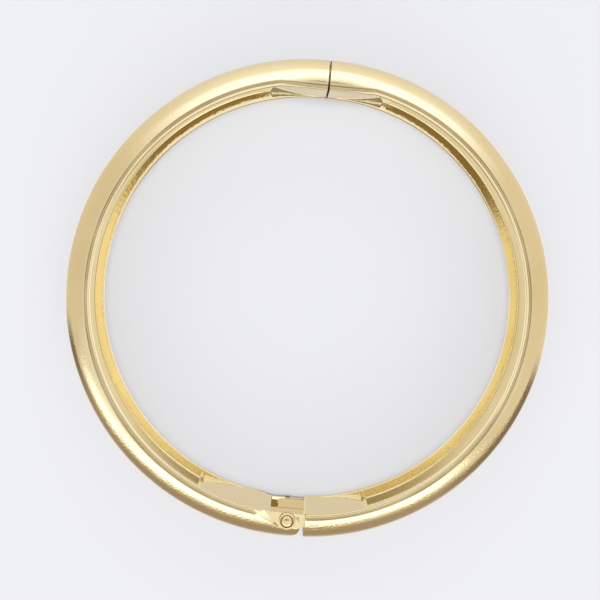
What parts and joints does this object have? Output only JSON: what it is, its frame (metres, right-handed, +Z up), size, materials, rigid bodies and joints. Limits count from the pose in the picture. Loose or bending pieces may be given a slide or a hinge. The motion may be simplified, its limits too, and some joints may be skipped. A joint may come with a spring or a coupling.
{
  "type": "hinged bangle",
  "caption": "Hinged oval bangle of two hollow domed halves with a recessed lining, a riveted knuckle hinge and a tongue clasp.",
  "frame": {"origin": "centre of the ring on the surface it lies on, at the middle of the lower rim's plane", "axes": "+Z is up, along the axis of the ring; the hinge is at -Y and the clasp at +Y; the left half lies at -X and the right half at +X"},
  "size_m": [0.065, 0.0641, 0.011],
  "materials": {
    "polished_gold": "polished pale gold plating on brass sheet, lightly scratched by wear",
    "rivet_gold": "pale gold plating over a brass rivet and tongue"
  },
  "bodies": {
    "left": {"left_half": "polished_gold", "hinge_rivet": "rivet_gold", "clasp_tongue": "rivet_gold"},
    "right": {"right_half": "polished_gold"}
  },
  "joints": [
    {"name": "hinge", "type": "hinge", "parent": "left", "child": "right", "pos_m": [0, -0.0291, 0.0055], "axis": [0, 0, -1], "range_deg": [0, 36]}
  ]
}
